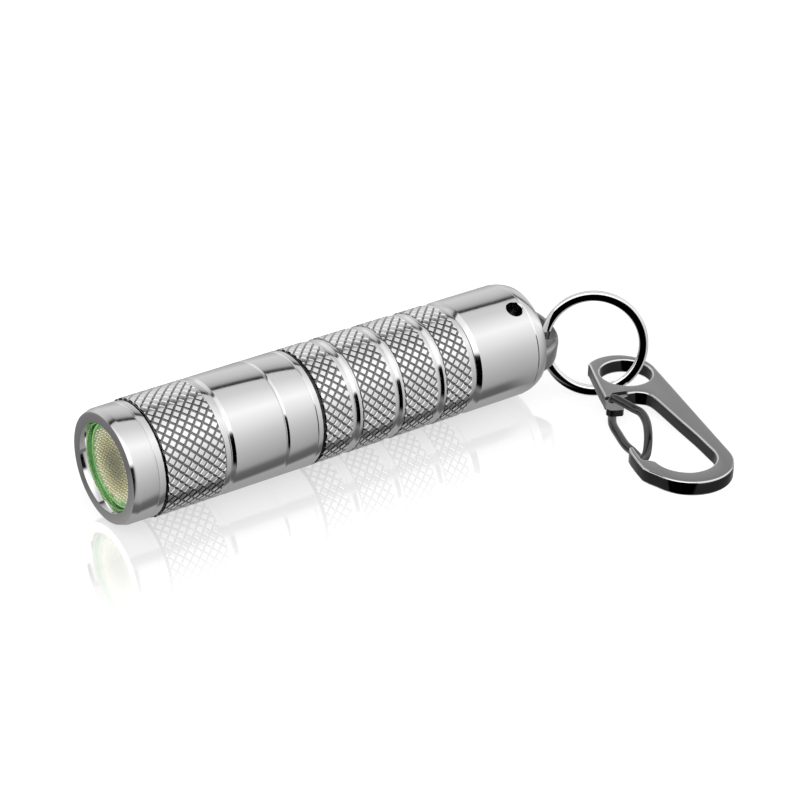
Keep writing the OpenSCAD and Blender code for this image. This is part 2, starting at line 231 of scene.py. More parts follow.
# Bright copy of the hook metal for the bevels: painted highlight
hook_bevel_painted_highlight = metal("hook_bevel_painted_highlight", 0.85, (0.08, 0.12), 0.05, even(900), 0.05)
gate_metal = metal("gate_polished", 0.1, (0.05, 0.09), 0.05, even(900), 0.05)
cell_steel = metal("cell_nickel", 0.68, (0.2, 0.32), 0.05, (1800, 200, 200), 0.2)
plated = material("gold_plating", (0.83, 0.62, 0.28), 1.0, (0.15, 0.3), 0.08, even(1200), 0.15)
rubber = material("o_ring_rubber", (0.02, 0.02, 0.02), 0.0, (0.5, 0.7), 0.2, even(2500), 0.3)
glow = material("glow_ring_green", (0.2, 0.6, 0.1), 0.0, (0.3, 0.4), 0.1, even(500), 0.05,
                emission=((0.12, 0.62, 0.06), 0.5))
board_white = material("board_white", (0.85, 0.85, 0.83), 0.0, (0.4, 0.55), 0.04, even(1800), 0.2)
board_green = material("board_green", (0.02, 0.16, 0.06), 0.0, (0.25, 0.4), 0.2, even(1500), 0.2, coat=0.3)
resin = material("emitter_resin", (0.9, 0.7, 0.12), 0.0, (0.1, 0.2), 0.06, even(900), 0.1, coat=0.5)
black_parts = material("black_moulding", (0.03, 0.03, 0.03), 0.0, (0.35, 0.5), 0.2, even(2000), 0.3)
red_wire = material("wire_red", (0.55, 0.03, 0.02), 0.0, (0.3, 0.4), 0.1, even(1200), 0.1)
cell_film = material("cell_film", (0.06, 0.16, 0.38), 0.0, (0.2, 0.3), 0.1, even(600), 0.15, coat=0.4)
glass = material("window_glass", (0.93, 0.98, 0.94), 0.0, (0.02, 0.05), 0.01, even(300), alpha=0.05)


def radial_optic():
    """Olive plastic over a reflector, with painted shade and light: dark in the middle, paler outwards, and the
    glow ring's green light painted at the rim.
    """
    m = bpy.data.materials.new("optic_beads")
    m.use_nodes = True
    tree = m.node_tree
    shader = tree.nodes["Principled BSDF"]
    coord = tree.nodes.new("ShaderNodeTexCoord")
    split = separate(tree, coord.outputs["Object"])
    flat = tree.nodes.new("ShaderNodeCombineXYZ")
    link(tree, split.outputs["Y"], flat.inputs["Y"])
    link(tree, split.outputs["Z"], flat.inputs["Z"])
    length = tree.nodes.new("ShaderNodeVectorMath")
    length.operation = "LENGTH"
    link(tree, flat.outputs["Vector"], length.inputs[0])
    rim = 5.5 * MM
    # Painted shade and light: dark in the middle, paler outwards, with the glow ring's green light painted at the
    # rim
    stops = ((0.0, (0.17, 0.15, 0.06)), (0.3, (0.27, 0.25, 0.1)), (0.6, (0.6, 0.56, 0.27)),
             (0.82, (0.86, 0.84, 0.55)), (1.0, (0.4, 0.72, 0.28)))
    tones = color_ramp(tree, map_range(tree, length.outputs["Value"], (0.0, rim)), stops)
    link(tree, tones, shader.inputs["Base Color"])
    fine = noise(tree, stretched(tree, even(1600)), 3.0)
    link(tree, map_range(tree, fine, NOISE_SPAN, (0.1, 0.2)), shader.inputs["Roughness"])
    shader.inputs["Metallic"].default_value = 0.7
    shader.inputs["Coat Weight"].default_value = 0.5
    return m


optic_mat = radial_optic()


# Mesh helpers; coordinates are millimetres until an object is made

def finish_object(name, mesh, mats, body, replaced=(), angle=28.0):
    for m in mats:
        mesh.materials.append(m)
    mesh.polygons.foreach_set("use_smooth", [True] * len(mesh.polygons))
    mesh.set_sharp_from_angle(angle=math.radians(angle))
    obj = bpy.data.objects.new(name, mesh)
    bpy.context.scene.collection.objects.link(obj)
    if replaced:
        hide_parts(*replaced)
    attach(obj, body)
    return obj


def write_mesh(name, bm):
    mesh = bpy.data.meshes.new(name)
    bm.to_mesh(mesh)
    bm.free()
    return mesh


def mesh_in_mm(name, bm):
    """The mesh with its faces turned outwards, still in millimetres."""
    bmesh.ops.recalc_face_normals(bm, faces=bm.faces)
    return write_mesh(name, bm)


def to_mesh(name, bm):
    """The mesh in metres, with its seams joined and its faces turned outwards."""
    bmesh.ops.remove_doubles(bm, verts=bm.verts, dist=0.0008)
    bmesh.ops.recalc_face_normals(bm, faces=bm.faces)
    bmesh.ops.scale(bm, vec=(MM, MM, MM), verts=bm.verts)
    return write_mesh(name, bm)


def eased(profile, size, closed=True):
    """Rounds each corner of a profile a little."""
    out = []
    count = len(profile)
    for i, p in enumerate(profile):
        if not closed and i in (0, count - 1):
            out.append(p)
            continue
        a = np.array(profile[i - 1], float)
        b = np.array(p, float)
        c = np.array(profile[(i + 1) % count], float)
        la = np.linalg.norm(a - b)
        lc = np.linalg.norm(c - b)
        turn = math.acos(max(-1, min(1, float((b - a) @ (c - b)) / (la * lc))))
        if turn < math.radians(9) or b[0] < 0.01:
            out.append(p)
            continue
        s = min(size, 0.35 * la, 0.35 * lc)
        first = b + (a - b) / la * s
        last = b + (c - b) / lc * s
        out.append(tuple(first))
        out.append(tuple((first + 2 * b + last) / 4))
        out.append(tuple(last))
    return out


def add_lathe(bm, profile, closed=True, segments=SEGMENTS):
    """A surface turned about the X axis from points (radius, x)."""
    rings = []
    for r, x in profile:
        if r < 1e-6:
            rings.append([bm.verts.new((x, 0, 0))])
            continue
        ring = []
        for k in range(segments):
            a = 2 * math.pi * k / segments
            ring.append(bm.verts.new((x, r * math.sin(a), r * math.cos(a))))
        rings.append(ring)
    pairs = list(zip(rings, rings[1:]))
    if closed:
        pairs.append((rings[-1], rings[0]))
    for a, b in pairs:
        if len(a) == 1 and len(b) == 1:
            continue
        for k in range(segments):
            j = (k + 1) % segments
            corners = [a[k % len(a)], a[j % len(a)], b[j % len(b)], b[k % len(b)]]
            unique = []
            for v in corners:
                if v not in unique:
                    unique.append(v)
            bm.faces.new(unique)


def turned_mesh(name, profile, closed=True):
    bm = bmesh.new()
    add_lathe(bm, profile, closed)
    return to_mesh(name, bm)


def darken(bm, zones):
    """Paints shade on faces whose x and radius lie in a zone (x0, x1, r0, r1), by giving them the near-black
    recess colour.
    """
    for face in bm.faces:
        c = face.calc_center_median()
        r = math.hypot(c.y, c.z)
        for x0, x1, r0, r1 in zones:
            if x0 < c.x < x1 and r0 < r < r1:
                face.material_index = RECESS_SHADE


def add_knurl(bm, x0, x1, radius, phase=0.0):
    """A band of flat-topped diamonds cut by two families of 45 degree grooves, with closed ends."""
    pitch = 2 * math.pi * radius / KNURL_COUNT
    half = pitch / 2
    lip = half - KNURL_GROOVE / math.sqrt(2)
    edge = 0.05
    edge_drop = 0.035
    flat = bmesh.new()
    rings = ((half, -KNURL_DEPTH), (lip, -edge_drop), (lip - edge, 0.0))
    first = int(math.floor((x0 - phase) / half)) - 2
    last = int(math.ceil((x1 - phase) / half)) + 2
    for i in range(first, last):
        for j in range(2 * KNURL_COUNT):
            if (i + j) % 2:
                continue
            cx = phase + i * half
            cu = j * half
            loops = []
            for reach, height in rings:
                spots = ((cx + reach, cu), (cx, cu + reach), (cx - reach, cu), (cx, cu - reach))
                loops.append([flat.verts.new((x, u, height)) for x, u in spots])
            # Groove walls take the darker groove colour, painted shade; the tops take the brighter knurl colour,
            # painted highlight
            for a, b, index in ((loops[0], loops[1], GROOVE), (loops[1], loops[2], KNURL_TOP)):
                for k in range(4):
                    m = (k + 1) % 4
                    face = flat.faces.new((a[k], a[m], b[m], b[k]))
                    face.material_index = index
            # The flat top, in four facets round its centre, so that it follows the cylinder
            centre = flat.verts.new((cx, cu, 0))
            for k in range(4):
                face = flat.faces.new((loops[2][k], loops[2][(k + 1) % 4], centre))
                face.material_index = KNURL_TOP
    bmesh.ops.remove_doubles(flat, verts=flat.verts, dist=0.001)
    for x, clear_low in ((x0, True), (x1, False)):
        geom = flat.verts[:] + flat.edges[:] + flat.faces[:]
        bmesh.ops.bisect_plane(flat, geom=geom, plane_co=(x, 0, 0), plane_no=(1, 0, 0),
                               clear_inner=clear_low, clear_outer=not clear_low, dist=0.0002)
    for x in (x0, x1):
        rim = [e for e in flat.edges if e.is_boundary and all(abs(v.co.x - x) < 0.001 for v in e.verts)]
        made = bmesh.ops.extrude_edge_only(flat, edges=rim)["geom"]
        for v in made:
            if isinstance(v, bmesh.types.BMVert):
                v.co.z = -KNURL_DEPTH - 0.02
            elif isinstance(v, bmesh.types.BMFace):
                v.material_index = GROOVE
    table = {}
    for v in flat.verts:
        a = v.co.y / radius
        r = radius + v.co.z
        table[v] = bm.verts.new((v.co.x, r * math.sin(a), r * math.cos(a)))
    for f in flat.faces:
        try:
            face = bm.faces.new([table[v] for v in f.verts])
        except ValueError:
            continue
        face.material_index = f.material_index
    flat.free()


def sweep_mesh(name, path, section, closed, up_at):
    """Sweeps a closed section (points (a, b)) along a path; b runs along up_at(i)."""
    bm = bmesh.new()
    count = len(path)
    rings = []
    for i, p in enumerate(path):
        if closed:
            along = path[(i + 1) % count] - path[i - 1]
        else:
            along = path[min(count - 1, i + 1)] - path[max(0, i - 1)]
        along = along / np.linalg.norm(along)
        up = up_at(i)
        up = up - along * float(up @ along)
        up = up / np.linalg.norm(up)
        side = np.cross(along, up)
        rings.append([bm.verts.new(tuple(p + a * side + b * up)) for a, b in section])
    pairs = list(zip(rings, rings[1:]))
    if closed:
        pairs.append((rings[-1], rings[0]))
    m = len(section)
    for a, b in pairs:
        for k in range(m):
            j = (k + 1) % m
            bm.faces.new((a[k], a[j], b[j], b[k]))
    if not closed:
        bm.faces.new(rings[0])
        bm.faces.new(list(reversed(rings[-1])))
    return to_mesh(name, bm)


def spline_point(a, b, c, d, t):
    """A point of the smooth curve through a, b, c and d, at the share t of the way from b to c."""
    return 0.5 * (2 * b + (c - a) * t + (2 * a - 5 * b + 4 * c - d) * t * t
                  + (3 * b - a - 3 * c + d) * t ** 3)


def smooth_loop(corners, steps=10):
    """A closed smooth route through the corners."""
    p = [np.array(q, float) for q in corners]
    n = len(p)
    route = []
    for i in range(n):
        for j in range(steps):
            route.append(spline_point(p[i - 1], p[i], p[(i + 1) % n], p[(i + 2) % n], j / steps))
    return route


def smooth_route(points, steps=5):
    """An open smooth route through points in a plane."""
    p = [np.array(q, float) for q in points]
    end = len(p) - 1
    route = []
    for i in range(end):
        for j in range(steps):
            spot = spline_point(p[max(0, i - 1)], p[i], p[i + 1], p[min(end, i + 2)], j / steps)
            route.append(tuple(spot))
    route.append(tuple(p[-1]))
    return route


def plate_mesh(name, loops, low_h, high_h, bevel):
    """A flat plate with bevelled rims, from closed outlines in its own plane, in millimetres."""
    curve = bpy.data.curves.new(name, "CURVE")
    curve.dimensions = "2D"
    curve.fill_mode = "BOTH"
    for points in loops:
        spline = curve.splines.new("POLY")
        spline.points.add(len(points) - 1)
        for q, (x, y) in zip(spline.points, points):
            q.co = (x, y, 0, 1)
        spline.use_cyclic_u = True
    curve.extrude = (high_h - low_h) / 2 - bevel
    curve.bevel_depth = bevel
    curve.bevel_resolution = 3
    curve.offset = -bevel
    temp = bpy.data.objects.new(name + "_outline", curve)
    bpy.context.scene.collection.objects.link(temp)
    graph = bpy.context.evaluated_depsgraph_get()
    mesh = bpy.data.meshes.new_from_object(temp.evaluated_get(graph))
    bpy.data.objects.remove(temp)
    mesh.transform(Matrix.Translation((0, 0, (high_h + low_h) / 2)))
    return mesh


def cut(mesh, cutters):
    """Takes closed cutter meshes away from a closed mesh."""
    target = bpy.data.objects.new("cut_target", mesh)
    bpy.context.scene.collection.objects.link(target)
    tools = []
    for c in cutters:
        tool = bpy.data.objects.new("cut_tool", c)
        bpy.context.scene.collection.objects.link(tool)
        tools.append(tool)
        mod = target.modifiers.new("cut", "BOOLEAN")
        mod.operation = "DIFFERENCE"
        mod.solver = "EXACT"
        mod.object = tool
    graph = bpy.context.evaluated_depsgraph_get()
    result = bpy.data.meshes.new_from_object(target.evaluated_get(graph))
    for tool in tools:
        bpy.data.objects.remove(tool)
    bpy.data.objects.remove(target)
    return result


def prism(points, h0, h1):
    """A closed upright prism over an outline, in millimetres."""
    bm = bmesh.new()
    bottom = [bm.verts.new((x, y, h0)) for x, y in points]
    top = [bm.verts.new((x, y, h1)) for x, y in points]
    bm.faces.new(bottom)
    bm.faces.new(list(reversed(top)))
    for k in range(len(points)):
        j = (k + 1) % len(points)
        bm.faces.new((bottom[k], bottom[j], top[j], top[k]))
    return mesh_in_mm("prism", bm)


def arc(cx, cy, r, a0, a1, count):
    """Points along an arc, from the angle a0 to a1 in degrees."""
    points = []
    for k in range(count + 1):
        a = math.radians(a0 + (a1 - a0) * k / count)
        points.append((cx + r * math.cos(a), cy + r * math.sin(a)))
    return points


# Bezel

BEZEL_LINE_X = 3.54
bezel_profile = [
    (WINDOW_R, 0), (BEZEL_R - 0.31, 0), (BEZEL_R, 0.95),
    (BEZEL_R, BEZEL_LINE_X - 0.11), (BEZEL_R - LINE_DEPTH, BEZEL_LINE_X - 0.05),
    (BEZEL_R - LINE_DEPTH, BEZEL_LINE_X + 0.05), (BEZEL_R, BEZEL_LINE_X + 0.11),
    (BEZEL_R, BEZEL_LEN - 0.16), (BEZEL_R - 0.2, BEZEL_LEN), (SHANK_R, BEZEL_LEN),
    (SHANK_R, SHANK_END_X), (6.3, SHANK_END_X), (6.3, 1), (LIP_R, 1), (LIP_R, 0.85)
]
bezel_mesh = turned_mesh("bezel_turned", eased(bezel_profile, 0.06))
finish_object("bezel_turned", bezel_mesh, [satin], "head", ["bezel"])

# Head

HEAD_KNURL = (4.9, 13.43)
GROOVE_X = 14.68
SHELF_X = (10, 11)
SKIRT_X = 12.1
FLOOR_R = BODY_R - KNURL_DEPTH
head_profile = [
    (SKIRT_R, BEZEL_LEN), (BODY_R - 0.6, BEZEL_LEN), (BODY_R - 0.6, HEAD_KNURL[0] - 0.05),
    (FLOOR_R - 0.05, HEAD_KNURL[0]), (FLOOR_R, HEAD_KNURL[0] + 0.1),
    (FLOOR_R, HEAD_KNURL[1]), (BODY_R - 0.08, HEAD_KNURL[1] + 0.03), (BODY_R, HEAD_KNURL[1] + 0.1),
    (BODY_R, GROOVE_X - 0.42), (BODY_R - GROOVE_DEPTH, GROOVE_X - 0.06), (BODY_R - GROOVE_DEPTH, GROOVE_X),
    (BODY_R, GROOVE_X + 0.37), (BODY_R, SEAM_X - 0.14), (BODY_R - 0.16, SEAM_X), (SKIRT_R, SEAM_X),
    (SKIRT_R, SKIRT_X), (6.0, SKIRT_X), (6.0, SHELF_X[1]), (0, SHELF_X[1]), (0, SHELF_X[0]),
    (SKIRT_R, SHELF_X[0])
]
bm = bmesh.new()
add_lathe(bm, eased(head_profile, 0.05))
add_knurl(bm, HEAD_KNURL[0], HEAD_KNURL[1], BODY_R)
# Painted shade: the neck between the bezel and the knurl is coloured near-black
darken(bm, [(BEZEL_LEN - 0.1, HEAD_KNURL[0] + 0.02, BODY_R - 0.8, BODY_R - 0.02)])
# The plain finish, then the darker colour of knurl groove walls and the near-black colour of recesses, both
# painted shade, then the brighter colour of knurl tops, painted highlight
BODY_FINISHES_AND_PAINTED_LIGHT = [satin, groove_painted_shade, recess_painted_shade, knurl_painted_highlight]
head_mesh = to_mesh("head_turned", bm)
finish_object("head_turned", head_mesh, BODY_FINISHES_AND_PAINTED_LIGHT, "head", ["head_shell"])

# Battery tube

COLLAR_END = SEAM_X + 5.75
BAND_START = [COLLAR_END + 0.5, SEAM_X + 12.2, SEAM_X + 19.12, SEAM_X + 26.02]
BAND_END = [SEAM_X + 10.36, SEAM_X + 17.35, SEAM_X + 24.35, SEAM_X + 30.12]
LINE_X = SEAM_X + 4.82
ORING_X = SEAM_X - 1.4
tube_profile = [(BORE_R, NECK_X), (NECK_R - 0.3, NECK_X)]
# Threads of the neck
x = NECK_X + 0.3
while x < ORING_X - 1.2:
    tube_profile += [(NECK_R - 0.35, x), (NECK_R, x + 0.4), (NECK_R, x + 0.6)]
    x += 1.0
tube_profile += [
    (NECK_R, ORING_X - 0.6), (NECK_R - 0.8, ORING_X - 0.6), (NECK_R - 0.8, ORING_X + 0.6),
    (NECK_R, ORING_X + 0.6), (NECK_R, SEAM_X + 0.05), (BODY_R - 0.36, SEAM_X + 0.05),
    (BODY_R, SEAM_X + 0.42), (BODY_R, LINE_X - 0.14), (BODY_R - LINE_DEPTH, LINE_X - 0.06),
    (BODY_R - LINE_DEPTH, LINE_X + 0.06), (BODY_R, LINE_X + 0.14), (BODY_R, COLLAR_END - 0.12),
    (BODY_R - 0.1, COLLAR_END), (BODY_R - GROOVE_DEPTH, COLLAR_END + 0.04),
    (BODY_R - GROOVE_DEPTH, BAND_START[0] - 0.05)
]
for i in range(len(BAND_START)):
    tube_profile += [(FLOOR_R, BAND_START[i]), (FLOOR_R, BAND_END[i])]
    if i + 1 < len(BAND_START):
        middle = (BAND_END[i] + BAND_START[i + 1]) / 2
        tube_profile += [
            (LAND_R, BAND_END[i] + 0.05), (LAND_R, middle - 0.36), (LAND_R - GROOVE_DEPTH, middle - 0.04),
            (LAND_R - GROOVE_DEPTH, middle + 0.02), (LAND_R, middle + 0.38),
            (LAND_R, BAND_START[i + 1] - 0.05)
        ]
tube_profile += [
    (LAND_R, BAND_END[-1] + 0.05), (LAND_R, JOINT_X - 0.05), (BODY_R - 0.65, JOINT_X),
    (6.6, JOINT_X), (6.6, TUBE_END_X), (BORE_R, TUBE_END_X)
]
bm = bmesh.new()
add_lathe(bm, eased(tube_profile, 0.05))
for start, stop in zip(BAND_START, BAND_END):
    add_knurl(bm, start, stop, BODY_R, phase=SEAM_X)
# Painted shade: the collar groove before the first knurl band and the joint with the tail cap are coloured
# near-black
darken(bm, [(COLLAR_END + 0.02, BAND_START[0] + 0.02, BODY_R - 0.6, BODY_R - 0.05),
            (JOINT_X - 0.1, TUBE_END_X, BORE_R + 0.1, BODY_R - 0.3)])
tube_mesh = to_mesh("tube_turned", bm)
finish_object("tube_turned", tube_mesh, BODY_FINISHES_AND_PAINTED_LIGHT, "tube", ["battery_tube"])

# Tail cap: a turned body with the cross hole, and the slotted lug behind it

STEP_X = JOINT_X + 0.95
SHOULDER_X = JOINT_X + 10.75
SHOULDER_LINE = LINE_DEPTH + 0.03
SOCKET_R = 6.62
SOCKET_END_X = JOINT_X + 6
TAIL_FLOOR_X = END_X - 5.4
HOLE_X = END_X - 3.45
HOLE_R = 1.2
CLOSE_START = END_X - 5.4
CLOSE_LEN = 3.2
CLOSE_STEPS = 16
ROUND_STEPS = 12
tail_profile = [(SOCKET_R, JOINT_X + 0.02), (BODY_R - 0.7, JOINT_X + 0.02), (BODY_R, STEP_X)]
# Close rings round the cross hole keep the surface smooth beside it
for k in range(CLOSE_STEPS + 1):
    tail_profile.append((BODY_R, CLOSE_START + CLOSE_LEN * k / CLOSE_STEPS))
tail_profile += [(BODY_R, SHOULDER_X - 0.12), (BODY_R - SHOULDER_LINE, SHOULDER_X - 0.04),
                 (BODY_R - SHOULDER_LINE, SHOULDER_X + 0.04)]
# The shoulder curves in towards the end face
for k in range(ROUND_STEPS + 1):
    t = k / ROUND_STEPS
    tail_profile.append((BODY_R - 0.06 - 0.5 * t ** 1.7, SHOULDER_X + 0.12 + (END_X - SHOULDER_X - 0.27) * t))
tail_profile += [(BODY_R - 0.75, END_X), (0, END_X), (0, TAIL_FLOOR_X), (BORE_R, TAIL_FLOOR_X),
                 (BORE_R, SOCKET_END_X), (SOCKET_R, SOCKET_END_X)]
bm = bmesh.new()
add_lathe(bm, eased(tail_profile, 0.05))
tail_mesh = mesh_in_mm("tail_turned", bm)

# The drill flares at both ends, which eases the hole's rims
bm = bmesh.new()
drill_profile = [(0, -8.6), (HOLE_R + 0.42, -8.6), (HOLE_R + 0.14, -8.02), (HOLE_R, -7.86), (HOLE_R, 7.86),
                 (HOLE_R + 0.14, 8.02), (HOLE_R + 0.42, 8.6), (0, 8.6)]
add_lathe(bm, drill_profile, closed=False, segments=64)
bmesh.ops.remove_doubles(bm, verts=bm.verts, dist=0.0001)
drill = mesh_in_mm("drill", bm)
hole_axis = next(m for m in record["mounts"] if m["name"] == "lanyard_hole")["axis"]
turn = Vector((1, 0, 0)).rotation_difference(Vector(hole_axis)).to_matrix().to_4x4()
drill.transform(Matrix.Translation((HOLE_X, 0, 0)) @ turn)
tail_mesh = cut(tail_mesh, [drill])
tail_mesh.transform(Matrix.Scale(MM, 4))
finish_object("tail_turned", tail_mesh, [satin], "tube", ["tail_cap"])

LUG_T = 3.6
LUG_ANGLE = 10.0
LUG_BASE = END_X - 0.9
LUG_H = LUG_END_X - LUG_BASE
LUG_W = BODY_R - 0.57
SLOT_HALF = 5.05
SLOT_R = 1.75
SLOT_X = END_X + 2.7
LUG_STEPS = 60
lug_outline = []
for k in range(LUG_STEPS + 1):
    a = math.radians(180 * k / LUG_STEPS)
    lug_outline.append((LUG_BASE + LUG_H * math.sin(a), LUG_W * math.cos(a)))
slot_outline = arc(SLOT_X, SLOT_HALF - SLOT_R, SLOT_R, 0, 180, 20)
slot_outline += arc(SLOT_X, -SLOT_HALF + SLOT_R, SLOT_R, 180, 360, 20)
lug = plate_mesh("tail_lug", [lug_outline], -LUG_T / 2, LUG_T / 2, 0.8)
lug = cut(lug, [prism(slot_outline, -LUG_T, LUG_T)])
lug.transform(Matrix.Rotation(math.radians(LUG_ANGLE), 4, "X"))
lug.transform(Matrix.Scale(MM, 4))
# The lug takes the darker aluminium, painted shade
finish_object("tail_lug", lug, [lug_painted_shade], "tube")

# Split ring: one flattened wire that runs twice round

travel = joints["hook_travel"]
ring_c = np.array(travel["pos_m"]) / MM
ring_n = np.array(travel["axis"])
ring_n = ring_n / np.linalg.norm(ring_n)
RING_R = 15.17 / 2
RING_W = 1.3
RING_T = 1.3
ring_mid = RING_R - RING_W / 2
across = np.cross(ring_n, np.array([0.0, 0.0, 1.0]))
across = across / np.linalg.norm(across)
upward = np.cross(across, ring_n)
COIL_HALF = RING_T / 4
COIL_GAP = 0.012
SECTION_STEPS = 28
wire_section = []
for k in range(SECTION_STEPS):
    a = 2 * math.pi * k / SECTION_STEPS
    ca = math.cos(a)
    sa = math.sin(a)
    wire_section.append((RING_W / 2 * math.copysign(abs(ca) ** 0.75, ca),
                         (COIL_HALF - COIL_GAP) * math.copysign(abs(sa) ** 0.62, sa)))
START = math.radians(-118)
END_GAP = math.radians(14)
RING_STEPS = 420
STEP_AT = 0.44
STEP_LEN = 0.1
ring_path = []
for k in range(RING_STEPS + 1):
    t = k / RING_STEPS
    a = START + t * (4 * math.pi - END_GAP)
    # Each turn lies flat, and the wire steps across to the other side over one stretch
    step = min(1, max(0, (t - STEP_AT) / STEP_LEN))
    step = step * step * (3 - 2 * step)
    lift = (2 * step - 1) * COIL_HALF
    ring_path.append(ring_c + ring_mid * (math.cos(a) * across + math.sin(a) * upward) + lift * ring_n)
ring_mesh = sweep_mesh("split_ring_wire", ring_path, wire_section, False, lambda i: ring_n)
finish_object("split_ring_wire", ring_mesh, [chrome], "ring", ["split_ring"], 40)

# Snap hook, in its own frame: X towards the nose, Z up out of its flat top

gate_joint = joints["gate_open"]
hook_n = Vector(gate_joint["axis"]).normalized()
HOOK_TURN = -110.0
HOOK_TILT = 3.2
HOOK_T = 2.1
GATE_P = (6.3, -4.3)
LEG_STEP = 0.55
EYE_R = 3.72
hook_turn = Matrix.Rotation(math.radians(HOOK_TURN), 4, "Z")
hook_turn = hook_turn @ Matrix.Rotation(math.radians(HOOK_TILT), 4, "Y")
eye = Vector(gate_joint["pos_m"]) / MM - hook_turn @ Vector((GATE_P[0], GATE_P[1], 0))
hook_place = Matrix.Scale(MM, 4) @ Matrix.Translation(eye) @ hook_turn

outer = [(8.9, -3.7), (8.85, -4.5), (8.65, -5.4), (8.1, -5.8), (7.4, -5.6), (6.7, -5.28), (4.8, -5.08),
         (2.95, -4.94), (-1.0, -4.5), (-3.3, -4.22)]
outer += arc(-0.2, -0.6, 5.1, 226, 94, 34)
outer += [(8.0, 5.02), (16.0, 5.5)]
outer += arc(24.07, -0.11, 6.1, 92, -62, 40)
outer += [(25.9, -6.25), (24.9, -6.8), (23, -6.95), (20.9, -7.0), (19.9, -6.92), (19.45, -6.7),
          (19.3, -6.4), (19.5, -6.2)]
inner = [(22.4, -6.2), (22.75, -6.05), (23.3, -5.0), (23.7, -4.6)]
inner += smooth_route([
    (24.2, -4.45), (25.2, -4.05), (26.3, -3.2), (27.15, -1.9), (27.5, -0.5), (27.25, 1.1), (26.5, 2.5),
    (25.1, 3.6), (23.4, 3.95), (21.4, 3.72), (18.3, 3.3), (14, 2.52), (9.4, 1.75), (7.7, 1.42),
    (6.65, 1.05), (5.95, 0.35), (5.55, -0.75), (5.62, -1.9), (6.1, -2.75), (7.2, -3.15), (8.5, -3.4)
])
eye_loop = arc(0, 0, EYE_R, 0, 355, 71)
hook = plate_mesh("hook_plate", [outer + inner, eye_loop], -HOOK_T, 0, 0.2)
# Steps for the gate's two legs, in the top and in the underside
leg_zone = [(5, -1.8), (5, -3.84), (5.85, -4.6), (5.5, -7), (10, -7), (10, -1.8)]
hook = cut(hook, [prism(leg_zone, -LEG_STEP, 1), prism(leg_zone, -HOOK_T - 1, -HOOK_T + LEG_STEP)])
hook.transform(hook_place)
hook_obj = finish_object("hook_plate", hook, [hook_face, hook_side_painted_shade, hook_bevel_painted_highlight], "hook",
                         ["hook_frame"], 35)
# Flat faces take the satin finish; upright sides take a smoother polish and a near-black colour, painted shade;
# whatever lies between takes a bright bevel colour, painted highlight
FLAT_FROM = 0.985
SIDE_BELOW = 0.1
for f in hook_obj.data.polygons:
    facing = abs(f.normal.dot(hook_n))
    if facing > FLAT_FROM:
        f.material_index = 0
    elif facing < SIDE_BELOW:
        f.material_index = 1
    else:
        f.material_index = 2

UP = 0.07
MID = -HOOK_T / 2
LOW = -HOOK_T - UP
px, py = GATE_P
gate_corners = [
    (px, py, MID), (px, py, MID + 0.5), (px + 0.16, py + 0.09, UP - 0.2), (px + 0.65, py + 0.36, UP),
    (9.6, -2.75, UP), (11.3, -2, UP), (13.7, -2.15, 0.05), (16.4, -2.9, -0.05), (18.9, -3.85, -0.35),
    (20.6, -4.7, -0.75), (20.9, -5.25, -1.2), (20, -5.4, -1.55), (18, -5.6, -1.65), (16, -5.85, -1.8),
    (12.9, -5.7, -2), (9.7, -5.4, LOW), (px + 0.7, py - 0.2, LOW), (px + 0.16, py - 0.05, LOW + 0.2),
    (px, py, MID - 0.5)
]
GATE_R = 0.6
GATE_STEPS = 24
gate_section = []
for k in range(GATE_STEPS):
    a = 2 * math.pi * k / GATE_STEPS
    gate_section.append((GATE_R * math.cos(a), GATE_R * math.sin(a)))
gate_up = np.array([0.0, 1.0, 0.0])
gate_mesh = sweep_mesh("gate_loop", smooth_loop(gate_corners), gate_section, True, lambda i: gate_up)
gate_mesh.transform(Matrix.Scale(1 / MM, 4))
gate_mesh.transform(hook_place)
finish_object("gate_loop", gate_mesh, [gate_metal], "gate", ["gate_wire"], 60)

# Optic: a cone with a beaded front

OPTIC_X = low("optic", 0)
OPTIC_END = high("optic", 0)
OPTIC_R = high("optic", 2)
FRONT_R = WINDOW_R - 0.57
optic_profile = [
    (0, OPTIC_X + 0.3), (FRONT_R - 0.22, OPTIC_X + 0.3), (FRONT_R - 0.22, OPTIC_X + 0.03),
    (FRONT_R, OPTIC_X + 0.03), (FRONT_R, OPTIC_X + 0.6), (OPTIC_R, OPTIC_X + 0.6),
    (OPTIC_R, OPTIC_X + 1.4), (5.7, OPTIC_X + 1.4), (5, OPTIC_X + 3.6), (4, OPTIC_X + 5.4),
    (2.7, OPTIC_END), (1.8, OPTIC_END), (1.8, OPTIC_END - 2.4), (0, OPTIC_END - 2.4)
]
bm = bmesh.new()
add_lathe(bm, eased(optic_profile, 0.05, False), closed=False, segments=96)

BEAD = 0.6
ROW_RATIO = 0.866
BEAD_BASE = OPTIC_X + 0.29
BEAD_TIP = 0.245
BEAD_SIDES = 12
# Radius and height of the rings that round a bead off
BEAD_RINGS = ((0.33, 0.0), (0.28, 0.12), (0.2, 0.2), (0.1, 0.24))


def add_bead(y, z):
    rings = []
    for reach, rise in BEAD_RINGS:
        ring = []
        for k in range(BEAD_SIDES):
            a = math.radians(360 / BEAD_SIDES * k)
            ring.append(bm.verts.new((BEAD_BASE - rise, y + reach * math.cos(a), z + reach * math.sin(a))))
        rings.append(ring)
    tip = bm.verts.new((BEAD_BASE - BEAD_TIP, y, z))
    for a, b in zip(rings, rings[1:]):
        for k in range(BEAD_SIDES):
            m = (k + 1) % BEAD_SIDES
            bm.faces.new((a[k], a[m], b[m], b[k]))
    for k in range(BEAD_SIDES):
        bm.faces.new((rings[-1][k], rings[-1][(k + 1) % BEAD_SIDES], tip))


